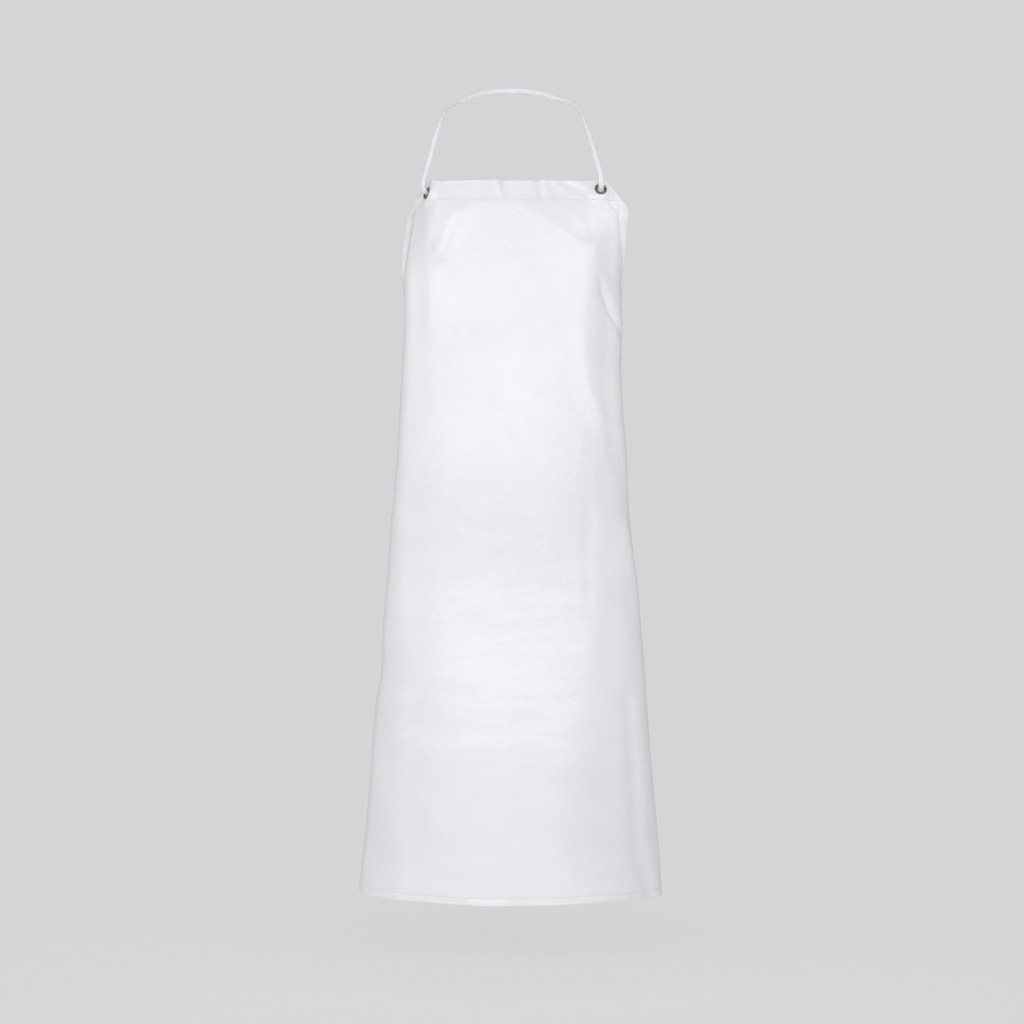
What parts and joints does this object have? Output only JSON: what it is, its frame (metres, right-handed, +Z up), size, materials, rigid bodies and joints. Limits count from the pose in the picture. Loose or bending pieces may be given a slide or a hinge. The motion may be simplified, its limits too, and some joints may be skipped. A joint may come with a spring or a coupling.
{
  "type": "butcher apron",
  "caption": "White coated-cloth bib apron in its worn shape, hemmed all round, hung by a braided neck cord knotted behind metal bib eyelets, with waist tie eyelets.",
  "frame": {"origin": "where the neck cord bears on the nape of the wearer's neck, on the cord's underside", "axes": "+Z up, +Y from the apron's front towards the wearer's back, +X to the right as seen from the front"},
  "size_m": [0.5158, 0.2127, 1.3729],
  "materials": {
    "coated_cloth": "smooth white vinyl coating with a soft sheen",
    "sewing_thread": "white spun thread",
    "eyelet_metal": "dark nickel plate",
    "braided_cord": "white braided cord"
  },
  "bodies": {
    "root": {"apron_panel": "coated_cloth", "top_hem": "coated_cloth", "lower_hem": "coated_cloth", "armhole_hem_left": "coated_cloth", "armhole_hem_right": "coated_cloth", "side_hem_left": "coated_cloth", "side_hem_right": "coated_cloth", "top_hem_stitches": "sewing_thread", "lower_hem_stitches": "sewing_thread", "armhole_stitches_left": "sewing_thread", "armhole_stitches_right": "sewing_thread", "side_stitches_left": "sewing_thread", "side_stitches_right": "sewing_thread", "bib_eyelet_left": "eyelet_metal", "bib_eyelet_right": "eyelet_metal", "bib_washer_left": "eyelet_metal", "bib_washer_right": "eyelet_metal", "waist_eyelet_left": "eyelet_metal", "waist_eyelet_right": "eyelet_metal", "waist_washer_left": "eyelet_metal", "waist_washer_right": "eyelet_metal", "neck_cord": "braided_cord", "neck_cord_knot_left": "braided_cord", "neck_cord_knot_right": "braided_cord"}
  },
  "joints": []
}
